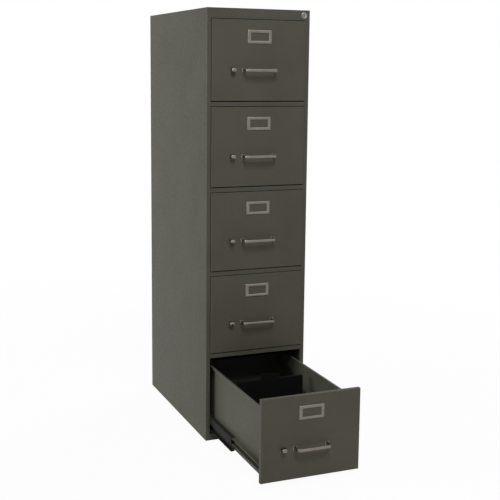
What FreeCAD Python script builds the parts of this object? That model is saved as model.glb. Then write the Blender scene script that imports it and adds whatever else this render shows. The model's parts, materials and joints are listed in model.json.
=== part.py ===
import FreeCAD, Part
import math
import os
import re
import Sketcher

# A five-drawer vertical file cabinet of painted sheet steel, in millimetres.
# X runs to the right as seen from the front, Y runs back from the case's front plane, and Z runs up
# from the floor. The lowest drawer stands open; every other drawer is shut.

SIZES = (
    ("case_width", "381", "across the side panels"),
    ("case_depth", "673", "front plane to back"),
    ("case_height", "1524", "floor to top"),
    ("case_gauge", "1", "sheet of the case"),
    ("case_bend", "1.5", "outer radius of the case's folds"),
    ("stile_width", "15", "front stile beside the drawers"),
    ("stile_return", "24", "depth of the folds behind the front plane"),
    ("rear_flange", "18", "fold that holds the back panel"),
    ("foot_flange", "18", "fold that stands on the floor"),
    ("top_flange", "15", "folds under the top panel"),
    ("top_fold_gap", "6", "those folds behind the stiles' returns"),
    ("top_round", "0.8", "edge of the top panel"),
    ("header_height", "35", "header rail over the drawers"),
    ("header_lip", "10", "upturned edge of the header's flange"),
    ("base_height", "24", "base rail under the drawers"),
    ("rail_height", "15", "rail between two drawers"),
    ("drawer_count", "5", "drawers"),
    ("gap_over", "2", "above each front"),
    ("gap_under", "3", "below each front"),
    ("gap_side", "1", "beside each front"),
    ("front_depth", "15", "depth of a front's pan"),
    ("front_proud", "4", "how far a front stands before the stiles"),
    ("front_gauge", "1", "sheet of a front"),
    ("front_round", "2", "edge of a front"),
    ("tray_space", "18.5", "from the stile's edge to the tray"),
    ("tray_gauge", "1", "sheet of a tray"),
    ("tray_lift", "10", "tray floor above the front's lower edge"),
    ("tray_height", "230", "tray side"),
    ("tray_length", "620", "tray behind the front"),
    ("tray_hem", "6", "turned-out top edge of a tray"),
    ("hem_drop", "8", "downturned end of that edge"),
    ("back_drop", "24", "drawer back below the tray's top edge"),
    ("rib_width", "24", "guide rib in the tray floor"),
    ("rib_height", "6", "guide rib above the tray floor"),
    ("slide_gauge", "1.5", "steel of the slides"),
    ("slide_gap", "0.5", "between nested slide members"),
    ("slide_setback", "1.5", "slides behind the stile's fold"),
    ("slide_length", "610", "arm of a cradle"),
    ("slide_tail", "5", "fixed slide member behind the cradle"),
    ("runner_gap", "1", "runner behind the front's inner panel"),
    ("runner_end", "9", "runner short of the tray's rear"),
    ("cradle_lift", "9", "cradle above the front's lower edge"),
    ("cradle_height", "50", "both channels of a cradle arm"),
    ("cradle_edge", "1.5", "from the stile's edge to the cradle"),
    ("cradle_inset", "2", "from the runner's web to the cradle"),
    ("upright_depth", "7.5", "upright off the side panel"),
    ("upright_width", "30", "face of an upright"),
    ("upright_setback", "10", "front upright behind the slides' front ends"),
    ("roller_gap", "0.3", "between a roller and its track"),
    ("roller_width", "11.5", "roller off its web"),
    ("roller_end", "13", "roller centre from the end of its member"),
    ("roller_room", "28", "length without flanges at a roller"),
    ("tie_width", "30", "tie between two cradle arms"),
    ("tie_inset", "2", "tie inside the arms' outer faces"),
    ("open_distance", "465", "how far the lowest drawer stands open"),
    ("label_rise", "218.5", "label holder's centre above the lower edge"),
    ("label_width", "89", "label holder"),
    ("label_height", "47", "label holder"),
    ("window_width", "66", "opening of the label holder"),
    ("window_height", "27", "opening of the label holder"),
    ("label_depth", "3", "label holder before the front"),
    ("label_bevel", "1.8", "sloped edge of the label holder"),
    ("card_room", "4", "card slot behind each edge of the opening"),
    ("card_depth", "1", "card slot"),
    ("pull_rise", "105", "grip above the lower edge"),
    ("pull_half", "57", "half the grip's length"),
    ("pull_reach", "32", "grip before the front"),
    ("pull_bend", "9", "radius at the ends of the grip"),
    ("grip_height", "10", "grip section"),
    ("grip_depth", "6", "grip section"),
    ("foot_width", "16", "foot of the pull"),
    ("foot_height", "14", "foot of the pull"),
    ("foot_depth", "1.5", "foot of the pull"),
    ("latch_place", "99", "thumb latch left of the middle"),
    ("latch_rise", "106", "thumb latch above the lower edge"),
    ("latch_travel", "8", "sideways travel of the latch"),
    ("thumb_width", "17", "thumb piece"),
    ("thumb_height", "13", "thumb piece"),
    ("thumb_reach", "20", "thumb piece before the front"),
    ("thumb_round", "3", "edge of the thumb piece"),
    ("latch_gap", "0.5", "latch in its slots"),
    ("stem_width", "8", "latch stem"),
    ("stem_height", "6", "latch stem"),
    ("bolt_height", "10", "latch bar and nose"),
    ("bolt_gauge", "1.5", "latch bar"),
    ("bolt_set", "2", "latch bar behind the stile's face"),
    ("nose_length", "14", "latch nose"),
    ("nose_gap", "2", "latch nose before the inner panel"),
    ("follower_place", "330", "follower plate behind the front plane, drawer shut"),
    ("follower_width", "250", "follower plate"),
    ("follower_height", "213", "follower plate above the tray floor"),
    ("follower_gauge", "1.2", "follower plate"),
    ("follower_foot", "60", "foot of the follower"),
    ("follower_lip", "12", "top fold of the follower"),
    ("follower_gap", "0.3", "follower above the floor and beside the rib"),
    ("handle_width", "70", "raised tab of the follower"),
    ("handle_height", "19", "raised tab of the follower"),
    ("gusset_place", "60", "gusset left and right of the middle"),
    ("lock_inset", "22.5", "lock's middle in from the case's side"),
    ("lock_drop", "18", "lock below the top"),
    ("lock_flange", "11", "radius of the lock's face"),
    ("lock_flange_depth", "2", "lock's face before the header"),
    ("lock_barrel", "9.5", "radius of the lock's barrel"),
    ("lock_length", "20", "barrel behind the header's face"),
    ("lock_fit", "0.1", "barrel in its hole"),
    ("plug_radius", "6", "lock plug"),
    ("plug_gap", "0.15", "plug in the barrel"),
    ("plug_proud", "0.4", "plug before the lock's face"),
    ("plug_tail", "4", "plug behind the barrel"),
    ("key_width", "1.4", "key slot"),
    ("key_height", "7", "key slot"),
    ("key_depth", "8", "key slot"),
    ("cam_gauge", "1.5", "lock cam"),
    ("cam_reach", "6", "cam pin circle"),
    ("cam_half", "3", "half width of the cam"),
    ("cam_gap", "0.3", "lock bar's tab over the plug"),
    ("bar_gap", "0.5", "lock bar in the stile"),
    ("bar_face_gap", "0.3", "lock bar behind the stile's face"),
    ("bar_gauge", "3", "lock bar and lugs"),
    ("bar_neck", "5", "narrow top of the lock bar"),
    ("bar_travel", "6", "lift of the lock bar"),
    ("lug_rise", "138", "lug above the front's lower edge"),
    ("lug_gap", "1", "lug behind the stile's fold"),
    ("lug_depth", "4", "lug nose, front to back"),
    ("lug_reach", "8.5", "lug nose inside the stile's edge"),
    ("catch_gap", "2", "catch behind the lug"),
    ("catch_gauge", "3", "catch"),
    ("catch_height", "13.5", "catch"),
    ("catch_clear", "1.5", "catch above the lug when unlocked"),
    ("catch_edge", "3.5", "catch inside the stile's edge"),
    ("overshoot", "1", "how far a cut runs past its sheet"),
)

PLACES = (
    ("case_half", "case_width / 2"),
    ("inner_half", "case_half - case_gauge"),
    ("opening_half", "case_half - stile_width"),
    ("top_floor", "case_height - case_gauge"),
    ("header_floor", "case_height - header_height"),
    ("back_face", "case_depth - 2 * case_gauge"),
    ("pitch", "(header_floor - base_height + rail_height) / drawer_count"),
    ("front_floor", "base_height + gap_under"),
    ("front_height", "pitch - rail_height - gap_over - gap_under"),
    ("front_half", "opening_half - gap_side"),
    ("front_face", "-front_proud"),
    ("tray_front", "front_depth - front_proud"),
    ("tray_rear", "tray_front + tray_length"),
    ("tray_half", "opening_half - tray_space"),
    ("tray_floor", "tray_lift + tray_gauge"),
    ("tray_top", "tray_lift + tray_height"),
    ("slide_front", "stile_return + slide_setback"),
    ("slide_rear", "slide_front + slide_length"),
    ("cradle_out", "opening_half - cradle_edge"),
    ("cradle_in", "tray_half + slide_gauge + cradle_inset"),
    ("cradle_top", "cradle_lift + cradle_height"),
    ("cradle_mid", "cradle_lift + (cradle_height + slide_gauge) / 2"),
    ("track", "(cradle_height - 3 * slide_gauge) / 2"),
    ("inner_track", "track - 2 * slide_gap - 2 * slide_gauge"),
    ("big_roller", "track / 2 - roller_gap"),
    ("small_roller", "inner_track / 2 - roller_gap"),
    ("lower_axis", "cradle_lift + slide_gauge + track / 2"),
    ("upper_axis", "cradle_mid + track / 2"),
    ("nested_half", "track / 2 - slide_gap"),
    ("runner_out", "cradle_out - slide_gauge - slide_gap"),
    ("channel_out", "inner_half - upright_depth"),
    ("channel_in", "cradle_in + slide_gauge + slide_gap"),
    ("front_upright", "slide_front + upright_setback"),
    ("channel_rear", "slide_rear + slide_tail"),
    ("rear_upright", "channel_rear - upright_width"),
    ("runner_front", "tray_front + runner_gap"),
    ("runner_rear", "tray_rear - runner_end"),
    ("latch_left", "front_half - latch_gap / 2"),
    ("nose_back", "tray_front - front_gauge - nose_gap"),
    ("bar_out", "inner_half - bar_gap"),
    ("bar_in", "opening_half + case_gauge + bar_gap"),
    ("bar_front", "case_gauge + bar_face_gap"),
    ("lug_front", "stile_return + lug_gap"),
    ("lug_back", "lug_front + lug_depth"),
    ("lock_place", "case_half - lock_inset"),
    ("lock_height", "case_height - lock_drop"),
    ("tab_height", "lock_height + plug_radius + cam_gap"),
)

FRONT, UP = "XZ_Plane", "XY_Plane"
SIDE = "YZ_Plane"
CLOSE = 0.01

doc = FreeCAD.newDocument("vertical_file_cabinet")
sizes = doc.addObject("Spreadsheet::Sheet", "Sizes")
places = doc.addObject("Spreadsheet::Sheet", "Places")
working = doc.addObject("Spreadsheet::Sheet", "Working")
OWNERS = {}
NODES = []


# Sheets and expressions

def bound(text):
    """The expression with each size and place named as its sheet's cell."""
    return re.sub(r"[a-z_]+", lambda word: OWNERS.get(word.group(), "") + word.group(), str(text))


def number(text):
    """What an expression comes to at the present sizes."""
    working.set("A1", "=" + bound(text))
    working.recompute()
    return float(working.get("A1"))


def fill_sheets():
    for row, (name, value, note) in enumerate(SIZES, 1):
        sizes.set(f"A{row}", name)
        sizes.set(f"B{row}", value)
        sizes.set(f"C{row}", note)
        sizes.setAlias(f"B{row}", name)
        OWNERS[name] = "Sizes."
    for row, (name, formula) in enumerate(PLACES, 1):
        places.set(f"A{row}", name)
        places.set(f"B{row}", "=" + bound(formula))
        places.setAlias(f"B{row}", name)
        OWNERS[name] = "Places."
    doc.recompute()


# Sketches

def minus(text):
    return f"-({text})"


def handed(points, hand):
    """The same outline for the right (1) or the left (-1) of the cabinet."""
    return [(x if hand > 0 else minus(x), other) for x, other in points]


def rect(low_a, low_b, high_a, high_b):
    return [(low_a, low_b), (high_a, low_b), (high_a, high_b), (low_a, high_b)]


def centred(place, width, height):
    """A rectangle about a place, with its width and height."""
    across, up = place
    return rect(
        f"{across} - {width} / 2", f"{up} - {height} / 2", f"{across} + {width} / 2", f"{up} + {height} / 2"
    )


def strip(path, gauge, side):
    """The outline of a bent strip along a square-cornered path, its metal left (1) or right (-1) of it."""
    spots = [(number(a), number(b)) for a, b in path]
    steps = []
    for (a, b), (c, d) in zip(spots, spots[1:]):
        steps.append((-side * (d > b) + side * (d < b), side * (c > a) - side * (c < a)))
    far = []
    for index, (a, b) in enumerate(path):
        beside = steps[max(index - 1, 0):index + 1]
        push_a = max(-1, min(1, sum(step[0] for step in beside)))
        push_b = max(-1, min(1, sum(step[1] for step in beside)))
        far.append((f"{a} + {push_a} * {gauge}", f"{b} + {push_b} * {gauge}"))
    return list(path) + far[::-1]


def new_body(label):
    body = doc.addObject("PartDesign::Body", label)
    body.Label = label
    body.AllowCompound = True
    return body


def origin_part(body, role):
    return next(item for item in body.Origin.OriginFeatures if item.Role == role)


def new_sketch(body, plane, level):
    """A sketch on one of the body's planes, moved to a place along that plane's axis."""
    sketch = body.newObject("Sketcher::SketchObject", "outline")
    sketch.AttachmentSupport = [(origin_part(body, plane), "")]
    sketch.MapMode = "FlatFace"
    shift = minus(bound(level)) if plane == FRONT else bound(level)
    sketch.setExpression("AttachmentOffset.Base.z", shift)
    return sketch


def hold_point(sketch, geometry, end, place):
    """Two distances from the origin that bind one point to the sheets."""
    for kind, text in zip(("DistanceX", "DistanceY"), place):
        rule = Sketcher.Constraint(kind, -1, 1, geometry, end, number(text))
        sketch.setExpression(f"Constraints[{sketch.addConstraint(rule)}]", bound(text))


def add_outline(sketch, points):
    spots = [FreeCAD.Vector(number(a), number(b), 0) for a, b in points]
    first = sketch.GeometryCount
    for here, after in zip(spots, spots[1:] + spots[:1]):
        sketch.addGeometry(Part.LineSegment(here, after), False)
    for index, place in enumerate(points):
        after = first + (index + 1) % len(points)
        sketch.addConstraint(Sketcher.Constraint("Coincident", first + index, 2, after, 1))
        hold_point(sketch, first + index, 1, place)


def add_circle(sketch, place, radius):
    centre = FreeCAD.Vector(number(place[0]), number(place[1]), 0)
    up = FreeCAD.Vector(0, 0, 1)
    ring = sketch.addGeometry(Part.Circle(centre, up, number(radius)), False)
    hold_point(sketch, ring, 3, place)
    rule = Sketcher.Constraint("Radius", ring, number(radius))
    sketch.setExpression(f"Constraints[{sketch.addConstraint(rule)}]", bound(radius))


def outline(body, plane, level, *loops):
    sketch = new_sketch(body, plane, level)
    for points in loops:
        add_outline(sketch, points)
    return sketch


def disc(body, plane, level, place, radius):
    sketch = new_sketch(body, plane, level)
    add_circle(sketch, place, radius)
    return sketch


# Features

def feature(body, kind, sketch, length, way, sense):
    item = body.newObject(kind, kind.split("::")[1].lower())
    item.Profile = sketch
    item.setExpression("Length", bound(length))
    normal = -1 if sketch.AttachmentSupport[0][0].Role == FRONT else 1
    item.Reversed = way * sense != normal
    return item


def pad(body, sketch, length, way=1):
    """Adds metal from the sketch, way 1 towards the axis's far end or -1 towards its near end."""
    return feature(body, "PartDesign::Pad", sketch, length, way, 1)


def cut(body, sketch, length, way=1):
    """Takes metal away from the sketch on, and stops if nothing went."""
    doc.recompute()
    before = body.Shape.Volume
    item = feature(body, "PartDesign::Pocket", sketch, length, way, -1)
    doc.recompute()
    if body.Shape.Volume > before - CLOSE:
        raise RuntimeError(f"{body.Label}: a pocket cut nothing")
    return item


def edges_where(shape, chosen):
    """Names of the edges whose middle passes the test."""
    names = []
    for index, edge in enumerate(shape.Edges, 1):
        middle = edge.BoundBox.Center
        span = edge.BoundBox
        if chosen(middle, span):
            names.append(f"Edge{index}")
    return names


def dress(body, kind, size, chosen):
    """Fillet or chamfer on the chosen edges of the body's present shape."""
    doc.recompute()
    base = body.Tip
    names = edges_where(base.Shape, chosen)
    if not names:
        raise RuntimeError(f"{body.Label}: no edge to dress")
    item = body.newObject("PartDesign::" + kind, kind.lower())
    item.Base = (base, names)
    item.setExpression("Radius" if kind == "Fillet" else "Size", bound(size))
    doc.recompute()
    return item


def near(value, target):
    return abs(value - target) < CLOSE


def mirror(body, features, plane=SIDE):
    item = body.newObject("PartDesign::Mirrored", "mirrored")
    item.Originals = features
    item.MirrorPlane = (origin_part(body, plane), [""])
    body.Tip = item
    return item


def stack(body, features, count):
    """Copies the features upwards, one for each drawer."""
    item = body.newObject("PartDesign::LinearPattern", "stacked")
    item.Originals = features
    item.Direction = (origin_part(body, "Z_Axis"), [""])
    item.setExpression("Length", bound(f"pitch * ({count} - 1)"))
    item.setExpression("Occurrences", bound(count))
    body.Tip = item
    return item


def axle_cylinder(start, along, height, radius, length):
    """A cylinder whose axis lies across the cabinet."""
    item = doc.addObject("Part::Cylinder", "turned")
    item.Placement = FreeCAD.Placement(FreeCAD.Vector(), FreeCAD.Rotation(FreeCAD.Vector(0, 1, 0), 90))
    item.setExpression("Radius", bound(radius))
    item.setExpression("Height", bound(length))
    item.setExpression("Placement.Base.x", bound(start))
    item.setExpression("Placement.Base.y", bound(along))
    item.setExpression("Placement.Base.z", bound(height))
    return item


def roller(web, inward, hand, along, height, radius):
    """A roller riveted on a web that lies left or right of the middle.

    web is the distance of the web's face from the middle, and inward says which way the roller stands.
    """
    low = f"{web} - roller_width" if inward else web
    start = low if hand > 0 else f"-({low}) - roller_width"
    return axle_cylinder(start, along, height, radius, "roller_width")


def group(label, members):
    item = doc.addObject("Part::Compound", label)
    item.Label = label
    item.Links = members
    return item


def keep(item):
    NODES.append(item)
    return item


def keep_in_drawer(item, row, share=1):
    """Lifts a piece to its drawer and pulls out what belongs to the lowest one."""
    item.setExpression("Placement.Base.z", bound(f"front_floor + {row} * pitch"))
    if row == 0:
        item.setExpression("Placement.Base.y", bound(f"-{share} * open_distance"))
    return keep(item)


# Case

def side_panel(name, hand):
    """Wall, front stile with its return, rear flange and foot flange, folded from one sheet."""
    body = new_body(f"side_panel_{name}")
    rear = [("case_half", "case_depth"), ("case_half - rear_flange", "case_depth")]
    stile = [("opening_half", "stile_return"), ("opening_half", "0"), ("case_half", "0")]
    for path, low, length in (
        (stile + rear, "0", "header_floor"),
        ([("case_half", "0")] + rear, "header_floor", "top_floor - header_floor"),
    ):
        section = strip(handed(path, hand), "case_gauge", hand)
        pad(body, outline(body, UP, low, section), length)
    foot = rect("case_half - foot_flange", "stile_return", "inner_half", "case_depth - stile_return")
    pad(body, outline(body, UP, "0", handed(foot, hand)), "case_gauge")
    corners = [(number("case_half"), 0.0), (number("opening_half"), 0.0)]
    corners.append((number("case_half"), number("case_depth")))

    def folded(middle, span):
        upright = near(span.XLength, 0) and near(span.YLength, 0)
        return upright and any(near(abs(middle.x), x) and near(middle.y, y) for x, y in corners)

    dress(body, "Fillet", "case_bend", folded)
    return keep(body)


def back_panel():
    body = new_body("back_panel")
    sheet = rect("-inner_half", "0", "inner_half", "top_floor")
    pad(body, outline(body, FRONT, "back_face", sheet), "case_gauge")
    return keep(body)


def top_panel():
    """Flat sheet over the case, with folds inside the side and back panels."""
    body = new_body("top_panel")
    sheet = rect("-case_half", "0", "case_half", "case_depth")
    pad(body, outline(body, UP, "top_floor", sheet), "case_gauge")
    folds = [
        ("inner_half", "stile_return + top_fold_gap"),
        ("inner_half", "back_face"),
        ("-inner_half", "back_face"),
        ("-inner_half", "stile_return + top_fold_gap"),
    ]
    pad(body, outline(body, UP, "top_floor", strip(folds, "case_gauge", 1)), "top_flange", -1)
    corner = number("case_half")

    def upper_edge(middle, span):
        at_top = near(middle.z, number("case_height")) and near(span.ZLength, 0)
        return at_top and (near(abs(middle.x), corner) or near(middle.y, 0))

    dress(body, "Fillet", "top_round", upper_edge)
    return keep(body)


def header_rail():
    """Face over the drawers with a flange behind it, and the hole for the lock."""
    body = new_body("header_rail")
    face = rect("-inner_half", "header_floor", "inner_half", "top_floor")
    pad(body, outline(body, FRONT, "0", face), "case_gauge")
    fold = [
        ("0", "header_floor"),
        ("stile_return", "header_floor"),
        ("stile_return", "header_floor + header_lip"),
    ]
    flange = outline(body, SIDE, "-opening_half", strip(fold, "case_gauge", 1))
    pad(body, flange, "2 * opening_half")
    hole = disc(body, FRONT, "-overshoot", ("lock_place", "lock_height"), "lock_barrel + lock_fit")
    cut(body, hole, "case_gauge + 2 * overshoot")
    return keep(body)


def rail_section(floor, height):
    path = [
        ("stile_return", f"{floor} + {height}"),
        ("0", f"{floor} + {height}"),
        ("0", floor),
        ("stile_return", floor),
    ]
    return strip(path, "case_gauge", 1)


def cross_rails():
    """Channel rails between the drawers, open at the back."""
    body = new_body("cross_rails")
    section = rail_section("front_floor + front_height + gap_over", "rail_height")
    rail = pad(body, outline(body, SIDE, "-opening_half", section), "2 * opening_half")
    stack(body, [rail], "drawer_count - 1")
    return keep(body)


def base_rails():
    """Channel rails across the floor, at the front and at the back of the case."""
    body = new_body("base_rails")
    front = outline(body, SIDE, "-opening_half", rail_section("0", "base_height"))
    pad(body, front, "2 * opening_half")
    path = [
        ("case_depth - stile_return", "base_height"),
        ("back_face", "base_height"),
        ("back_face", "0"),
        ("case_depth - stile_return", "0"),
    ]
    rear = outline(body, SIDE, "-inner_half", strip(path, "case_gauge", -1))
    pad(body, rear, "2 * inner_half")
    return keep(body)


def uprights(name, hand):
    """Two channels on a side panel that carry the slides."""
    body = new_body(f"uprights_{name}")
    for start in ("front_upright", "rear_upright"):
        path = [
            ("inner_half", start),
            ("channel_out", start),
            ("channel_out", f"{start} + upright_width"),
            ("inner_half", f"{start} + upright_width"),
        ]
        section = strip(handed(path, hand), "case_gauge", -hand)
        height = "top_floor - top_flange - case_gauge"
        pad(body, outline(body, UP, "case_gauge", section), height)
    return keep(body)


# Slides

def channel_path(web, tip, axis, half):
    """A channel's outer outline: from one flange's tip round the web to the other's."""
    return [
        (tip, f"{axis} + {half}"),
        (web, f"{axis} + {half}"),
        (web, f"{axis} - {half}"),
        (tip, f"{axis} - {half}"),
    ]


def slide_channels(name, hand):
    """Fixed members on the uprights, each with a roller at its front end."""
    body = new_body(f"channels_{name}")
    path = channel_path("channel_out", "channel_in", "front_floor + lower_axis", "nested_half")
    section = strip(handed(path, hand), "slide_gauge", -hand)
    start = "slide_front + roller_room"
    channel = pad(body, outline(body, FRONT, start, section), f"channel_rear - ({start})")
    low = "front_floor + lower_axis - nested_half"
    high = "front_floor + lower_axis + nested_half"
    web = rect("channel_out - slide_gauge", low, "channel_out", high)
    tail = pad(body, outline(body, FRONT, "slide_front", handed(web, hand)), "roller_room")
    stack(body, [channel, tail], "drawer_count")
    pieces = [body]
    for row in range(int(number("drawer_count"))):
        height = f"front_floor + lower_axis + {row} * pitch"
        along = "slide_front + roller_end"
        pieces.append(roller("(channel_out - slide_gauge)", True, hand, along, height, "big_roller"))
    return keep(group(f"slide_channels_{name}", pieces))


def cradle(label, row):
    """Middle slide member: two arms with a lower and an upper channel, tied behind, with rollers."""
    arms = new_body(f"{label}_arms")
    path = [
        ("cradle_out", "cradle_lift"),
        ("cradle_in", "cradle_lift"),
        ("cradle_in", "cradle_mid"),
        ("cradle_out - slide_gauge", "cradle_mid"),
        ("cradle_out - slide_gauge", "cradle_top - slide_gauge"),
        ("cradle_in", "cradle_top - slide_gauge"),
    ]
    arm = pad(arms, outline(arms, FRONT, "slide_front", strip(path, "slide_gauge", -1)), "slide_length")
    mirror(arms, [arm])
    tie = new_body(f"{label}_tie")
    start, half = "slide_rear - roller_end - tie_width", "cradle_out - tie_inset"
    plate = rect(minus(half), start, half, f"{start} + tie_width")
    pad(tie, outline(tie, UP, "cradle_lift - slide_gauge", plate), "slide_gauge")
    pieces = [arms, tie]
    for hand in (1, -1):
        rear = "slide_rear - roller_end"
        lower = ("(cradle_in + slide_gauge)", False, hand, rear, "lower_axis", "small_roller")
        front = "slide_front + roller_end"
        upper = ("(cradle_out - slide_gauge)", True, hand, front, "upper_axis", "small_roller")
        pieces += [roller(*lower), roller(*upper)]
    return keep_in_drawer(group(label, pieces), row, 0.5)


def runners(label, row):
    """Channels on the tray's sides, each with a roller behind."""
    body = new_body(f"{label}_channels")
    path = channel_path("tray_half", "runner_out", "upper_axis", "nested_half")
    section = strip(path, "slide_gauge", 1)
    channel = outline(body, FRONT, "runner_front", section)
    flanged = pad(body, channel, "runner_rear - roller_room - runner_front")
    low = "upper_axis - nested_half"
    web = rect("tray_half", low, "tray_half + slide_gauge", "upper_axis + nested_half")
    tail = pad(body, outline(body, FRONT, "runner_rear - roller_room", web), "roller_room")
    mirror(body, [flanged, tail])
    pieces = [body]
    for hand in (1, -1):
        along = "runner_rear - roller_end"
        pieces.append(roller("(tray_half + slide_gauge)", False, hand, along, "upper_axis", "big_roller"))
    return keep_in_drawer(group(label, pieces), row)


# Drawers

def drawer_front(label, row):
    """Folded pan with a softly rounded face and slots for the thumb latch and its nose."""
    body = new_body(label)
    face = rect("-front_half", "0", "front_half", "front_height")
    pad(body, outline(body, FRONT, "front_face", face), "front_depth")
    plane = number("front_face")

    def face_edge(middle, span):
        return near(middle.y, plane) and near(span.YLength, 0)

    dress(body, "Fillet", "front_round", face_edge)
    half = "front_half - front_gauge"
    hollow = rect(minus(half), "front_gauge", half, "front_height - front_gauge")
    cut(body, outline(body, FRONT, "front_face + front_gauge", hollow), "front_depth")
    stem = rect(
        "-latch_place - stem_width / 2 - latch_gap",
        "latch_rise - stem_height / 2 - latch_gap",
        "-latch_place + stem_width / 2 + latch_gap + latch_travel",
        "latch_rise + stem_height / 2 + latch_gap",
    )
    cut(body, outline(body, FRONT, "front_face - overshoot", stem), "front_gauge + 2 * overshoot")
    nose = rect(
        "bolt_set - latch_gap",
        "latch_rise - bolt_height / 2 - latch_gap",
        "nose_back + latch_gap",
        "latch_rise + bolt_height / 2 + latch_gap",
    )
    cut(body, outline(body, SIDE, "-front_half - overshoot", nose), "front_gauge + 2 * overshoot")
    return keep_in_drawer(body, row)


def drawer_tray(label, row):
    """Two sides with turned-out top edges, a ribbed floor welded between them and the lock's catch."""
    sides = new_body(f"{label}_sides")
    path = [
        ("tray_half + tray_hem", "tray_top - hem_drop"),
        ("tray_half + tray_hem", "tray_top"),
        ("tray_half - tray_gauge", "tray_top"),
        ("tray_half - tray_gauge", "tray_lift"),
    ]
    side = pad(sides, outline(sides, FRONT, "tray_front", strip(path, "tray_gauge", 1)), "tray_length")
    mirror(sides, [side])
    floor = new_body(f"{label}_floor")
    right = [
        ("tray_half - tray_gauge", "tray_floor"),
        ("rib_width / 2", "tray_floor"),
        ("rib_width / 2", "tray_floor + rib_height"),
    ]
    left = [(minus(a), b) for a, b in reversed(right)]
    section = strip(right + left, "tray_gauge", 1)
    pad(floor, outline(floor, FRONT, "tray_front", section), "tray_length")
    plate = new_body(f"{label}_catch")
    low = "lug_rise + bar_gauge + catch_clear"
    shape = rect("tray_half", low, "opening_half - catch_edge", f"{low} + catch_height")
    pad(plate, outline(plate, FRONT, "lug_back + catch_gap", shape), "catch_gauge")
    return keep_in_drawer(group(label, [sides, floor, plate]), row)


def drawer_ends(label, row):
    """Inner panel that closes the front's pan, and the drawer's back."""
    body = new_body(label)
    half = "front_half - front_gauge"
    panel = rect(minus(half), "front_gauge", half, "front_height - front_gauge")
    pad(body, outline(body, FRONT, "tray_front - front_gauge", panel), "front_gauge")
    wall = "tray_half - tray_gauge"
    low = "tray_floor + rib_height"
    back = rect(minus(wall), low, wall, "tray_top - back_drop")
    pad(body, outline(body, FRONT, "tray_rear - tray_gauge", back), "tray_gauge")
    return keep_in_drawer(body, row)


def label_holder(label, row):
    """Frame with sloped edges and a card slot behind its opening."""
    body = new_body(label)
    outer = centred(("0", "label_rise"), "label_width", "label_height")
    window = centred(("0", "label_rise"), "window_width", "window_height")
    pad(body, outline(body, FRONT, "front_face", outer, window), "label_depth", -1)
    plane = number("front_face - label_depth")
    half_width, half_height = number("label_width / 2"), number("label_height / 2")
    centre = number("label_rise")

    def outer_edge(middle, span):
        at_rim = near(abs(middle.x), half_width) or near(abs(middle.z - centre), half_height)
        return near(middle.y, plane) and at_rim

    dress(body, "Chamfer", "label_bevel", outer_edge)
    slot = centred(("0", "label_rise"), "(window_width + 2 * card_room)", "(window_height + 2 * card_room)")
    cut(body, outline(body, FRONT, "front_face", slot), "card_depth", -1)
    return keep_in_drawer(body, row)


def bow_path(body):
    """Legs, bends and grip of the pull as one line in plan."""
    sketch = new_sketch(body, UP, "pull_rise")
    out = "(front_face - pull_reach + grip_depth / 2)"
    bend = f"({out} + pull_bend)"
    turn = "(pull_half - pull_bend)"
    runs = (
        (("-pull_half", "front_face"), ("-pull_half", bend)),
        ((minus(turn), out), (turn, out)),
        (("pull_half", bend), ("pull_half", "front_face")),
    )
    for run in runs:
        ends = [FreeCAD.Vector(number(a), number(b), 0) for a, b in run]
        line = sketch.addGeometry(Part.LineSegment(*ends), False)
        hold_point(sketch, line, 1, run[0])
        hold_point(sketch, line, 2, run[1])
    radius = number("pull_bend")
    for side, first, last in ((-1, 0, 1), (1, 1, 2)):
        centre = FreeCAD.Vector(side * number(turn), number(bend), 0)
        low = 180 if side < 0 else 270
        angles = [math.radians(low), math.radians(low + 90)]
        ring = Part.Circle(centre, FreeCAD.Vector(0, 0, 1), radius)
        arc = sketch.addGeometry(Part.ArcOfCircle(ring, *angles), False)
        sketch.addConstraint(Sketcher.Constraint("Coincident", arc, 1, first, 2))
        sketch.addConstraint(Sketcher.Constraint("Coincident", arc, 2, last, 1))
        rule = Sketcher.Constraint("Radius", arc, radius)
        sketch.setExpression(f"Constraints[{sketch.addConstraint(rule)}]", bound("pull_bend"))
    return sketch


def drawer_pull(label, row):
    """Bow pull swept along its line, on two feet."""
    body = new_body(label)
    spine = bow_path(body)
    section = centred(("-pull_half", "pull_rise"), "grip_depth", "grip_height")
    bow = body.newObject("PartDesign::AdditivePipe", "bow")
    bow.Profile = outline(body, FRONT, "front_face", section)
    bow.Spine = (spine, [f"Edge{index}" for index in range(1, 6)])
    for hand in (1, -1):
        foot = centred(("pull_half", "pull_rise"), "foot_width", "foot_height")
        pad(body, outline(body, FRONT, "front_face", handed(foot, hand)), "foot_depth", -1)
    return keep_in_drawer(body, row)


def thumb_latch(label, row):
    """Thumb piece, stem, bar and nose of the sideways latch."""
    body = new_body(label)
    low, high = "latch_rise - bolt_height / 2", "latch_rise + bolt_height / 2"
    bar = rect("-latch_left", low, "-latch_place + thumb_width / 2", high)
    pad(body, outline(body, FRONT, "bolt_set", bar), "bolt_gauge")
    nose = rect("-latch_left", low, "-latch_left + nose_length", high)
    pad(body, outline(body, FRONT, "bolt_set", nose), "nose_back - bolt_set")
    place = ("-latch_place", "latch_rise")
    stem = centred(place, "stem_width", "stem_height")
    start = "front_face - latch_gap"
    pad(body, outline(body, FRONT, start, stem), f"bolt_set - ({start})")
    thumb = centred(place, "thumb_width", "thumb_height")
    pad(body, outline(body, FRONT, start, thumb), "thumb_reach - latch_gap", -1)
    plane = number("front_face - thumb_reach")

    def thumb_edge(middle, span):
        return near(middle.y, plane)

    dress(body, "Fillet", "thumb_round", thumb_edge)
    return keep_in_drawer(body, row)


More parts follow.
